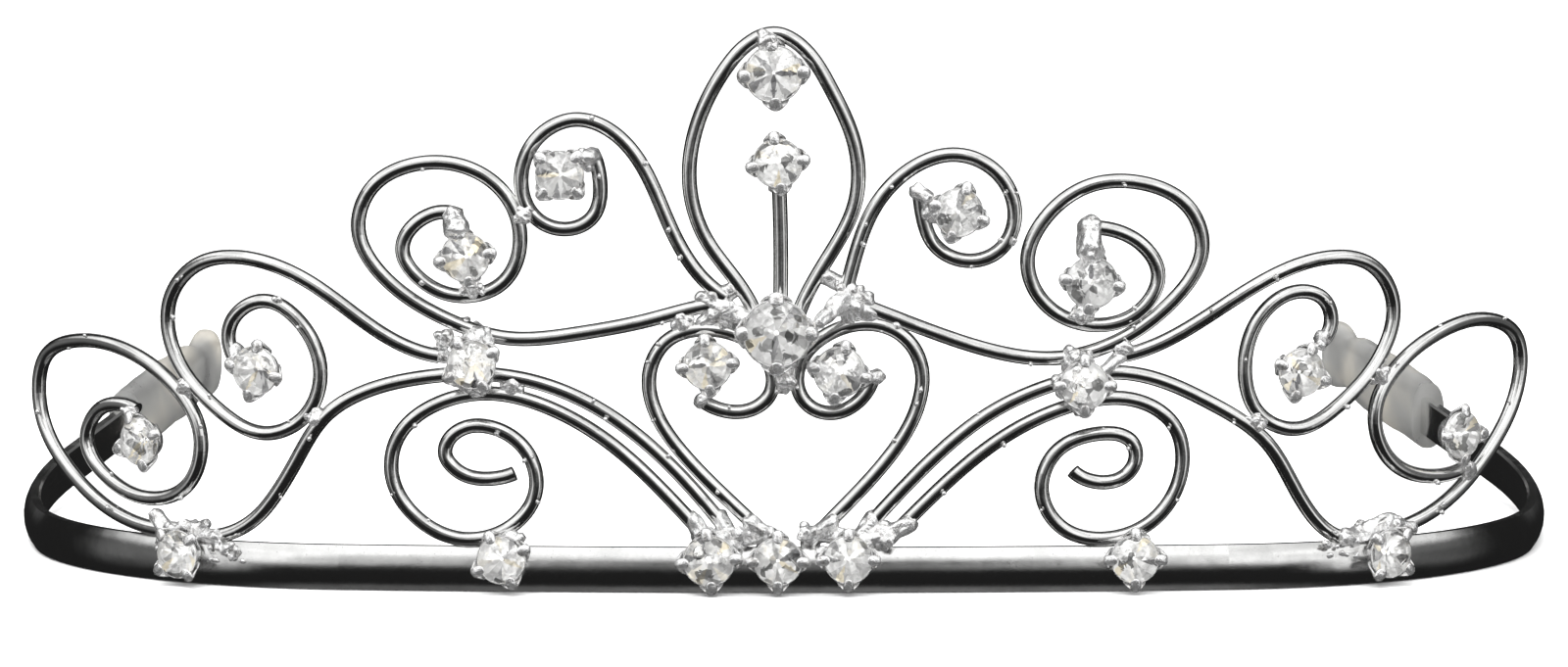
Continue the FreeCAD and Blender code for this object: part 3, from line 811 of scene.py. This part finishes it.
def stage_floor():
    """A plain pale floor just under the tiara."""
    bm = bmesh.new()
    bmesh.ops.create_grid(bm, x_segments=1, y_segments=1, size=6.0)
    mesh = bpy.data.meshes.new("floor")
    bm.to_mesh(mesh)
    bm.free()
    floor = bpy.data.objects.new("floor", mesh)
    floor.location.z = CAD_BOX[0][2] - 0.0001
    bpy.context.scene.collection.objects.link(floor)
    made = Nodes("floor_card")
    soft = made.noise(2.0, 2, 0.5)
    made.shade(Base_Color=made.ramp(soft, (0.3, 0.90), (0.7, 0.92)), Roughness=0.9)
    mesh.materials.append(made.material)
    floor.visible_glossy = False


def studio_world():
    """A pale backdrop for the camera, and for the tiara a patchy studio: bright overhead and at
    both sides in front, dim elsewhere. Directions are unit vectors: x right, y back, z up."""
    world = bpy.data.worlds.new("studio")
    bpy.context.scene.world = world
    world.use_nodes = True
    tree = world.node_tree
    tree.nodes.clear()

    def node(kind, inputs=None, **settings):
        made = tree.nodes.new(kind)
        for key, value in settings.items():
            setattr(made, key, value)
        for key, value in (inputs or {}).items():
            if isinstance(value, bpy.types.NodeSocket):
                tree.links.new(value, made.inputs[key])
            else:
                made.inputs[key].default_value = value
        return made

    def maths(operation, *values):
        return node("ShaderNodeMath", dict(enumerate(values)), operation=operation).outputs["Value"]

    def times(first, second):
        return maths("MULTIPLY", first, second)

    def without(value):
        return maths("SUBTRACT", 1.0, value)

    def smooth(value, low, high):
        """Rises from 0 at low to 1 at high, or falls when low is the greater."""
        made = node("ShaderNodeMapRange", {
            "Value": value, "From Min": low, "From Max": high,
        }, interpolation_type="SMOOTHSTEP")
        return made.outputs["Result"]

    way = node("ShaderNodeTexCoord").outputs["Generated"]
    split = node("ShaderNodeSeparateXYZ", {"Vector": way})
    x, y, z = (split.outputs[axis] for axis in "XYZ")

    def clouds(scale, detail, low, high):
        made = node("ShaderNodeTexNoise", {"Vector": way, "Scale": scale, "Detail": detail})
        return smooth(made.outputs["Fac"], low, high)

    above = smooth(z, 0.27, 0.58)
    aside = maths("ABSOLUTE", x)
    far_sides = times(smooth(aside, 0.62, 0.84), smooth(z, -0.60, -0.15))
    flanks = times(smooth(aside, 0.10, 0.30), smooth(z, -0.06, 0.20))
    sides = maths("MAXIMUM", far_sides, times(flanks, 0.80))
    shoulders = times(smooth(y, -0.66, -0.30), 0.90)
    sides = times(sides, without(shoulders))
    below = times(smooth(z, -0.84, -0.95), 0.14)
    strength = maths("MAXIMUM", maths("MAXIMUM", above, sides), below)
    rear = times(smooth(y, 0.02, 0.44), without(smooth(y, 0.78, 0.90)))
    strength = times(strength, without(rear))
    patches = clouds(2.3, 1.0, 0.30, 0.62)
    strength = times(strength, maths("ADD", 0.62, times(patches, 0.55)))
    haze = times(clouds(4.5, 2.0, 0.34, 0.64), smooth(z, -0.25, 0.10))
    haze = times(haze, without(smooth(y, -0.70, -0.20)))
    strength = maths("ADD", strength, times(haze, 0.22))
    strength = maths("ADD", strength, 0.014)

    white = (1, 1, 1, 1)
    seen = node("ShaderNodeBackground", {"Color": white, "Strength": 0.95})
    lit = node("ShaderNodeBackground", {"Color": white, "Strength": strength})
    chosen = node("ShaderNodeMixShader", {
        "Fac": node("ShaderNodeLightPath").outputs["Is Camera Ray"],
        1: lit.outputs["Background"], 2: seen.outputs["Background"],
    })
    node("ShaderNodeOutputWorld", {"Surface": chosen.outputs["Shader"]})


def add_lamp(name, lamp, place=(0, 0, 0), aim=None):
    """A lamp that lights surfaces but isn't itself seen in reflections."""
    item = bpy.data.objects.new(name, lamp)
    item.location = place
    if aim:
        item.rotation_euler = (Vector(aim) - Vector(place)).to_track_quat("-Z", "Y").to_euler()
    item.visible_glossy = False
    item.visible_transmission = False
    bpy.context.scene.collection.objects.link(item)


def soft_light(name, place, aim, size, power):
    """A rectangular soft box."""
    lamp = bpy.data.lights.new(name, "AREA")
    lamp.shape = "RECTANGLE"
    lamp.size, lamp.size_y = size
    lamp.energy = power
    add_lamp(name, lamp, place, aim)


def wide_light():
    """Even light from a whole pale ceiling, so that the floor looks the same far and near."""
    lamp = bpy.data.lights.new("ceiling", "SUN")
    lamp.energy = 2.6
    lamp.angle = math.radians(150)
    add_lamp("ceiling", lamp)


def main_camera():
    """Front view from slightly above, at the level of the spray's middle."""
    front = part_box("headband")[0][1] + 0.9 * MM
    tilt = math.radians(5.3)
    distance = 0.450
    aim = Vector((0, front, 22.35 * MM))
    lens = bpy.data.cameras.new("camera")
    lens.sensor_width = 36.0
    lens.lens = 120.5
    lens.clip_start = 0.01
    lens.clip_end = 30.0
    item = bpy.data.objects.new("camera", lens)
    item.location = aim - Vector((0, math.cos(tilt), -math.sin(tilt))) * distance
    item.rotation_euler = (math.pi / 2 - tilt, 0, 0)
    bpy.context.scene.collection.objects.link(item)
    bpy.context.scene.camera = item


stage_floor()
studio_world()
soft_light("overhead", place=(-0.15, -0.10, 0.80), aim=(0, 0, 0), size=(0.7, 0.7), power=8.0)
soft_light("front", place=(0.10, -0.70, 0.30), aim=(0, 0, 0.02), size=(0.5, 0.4), power=2.4)
wide_light()
main_camera()
bpy.context.scene.view_settings.view_transform = "Standard"
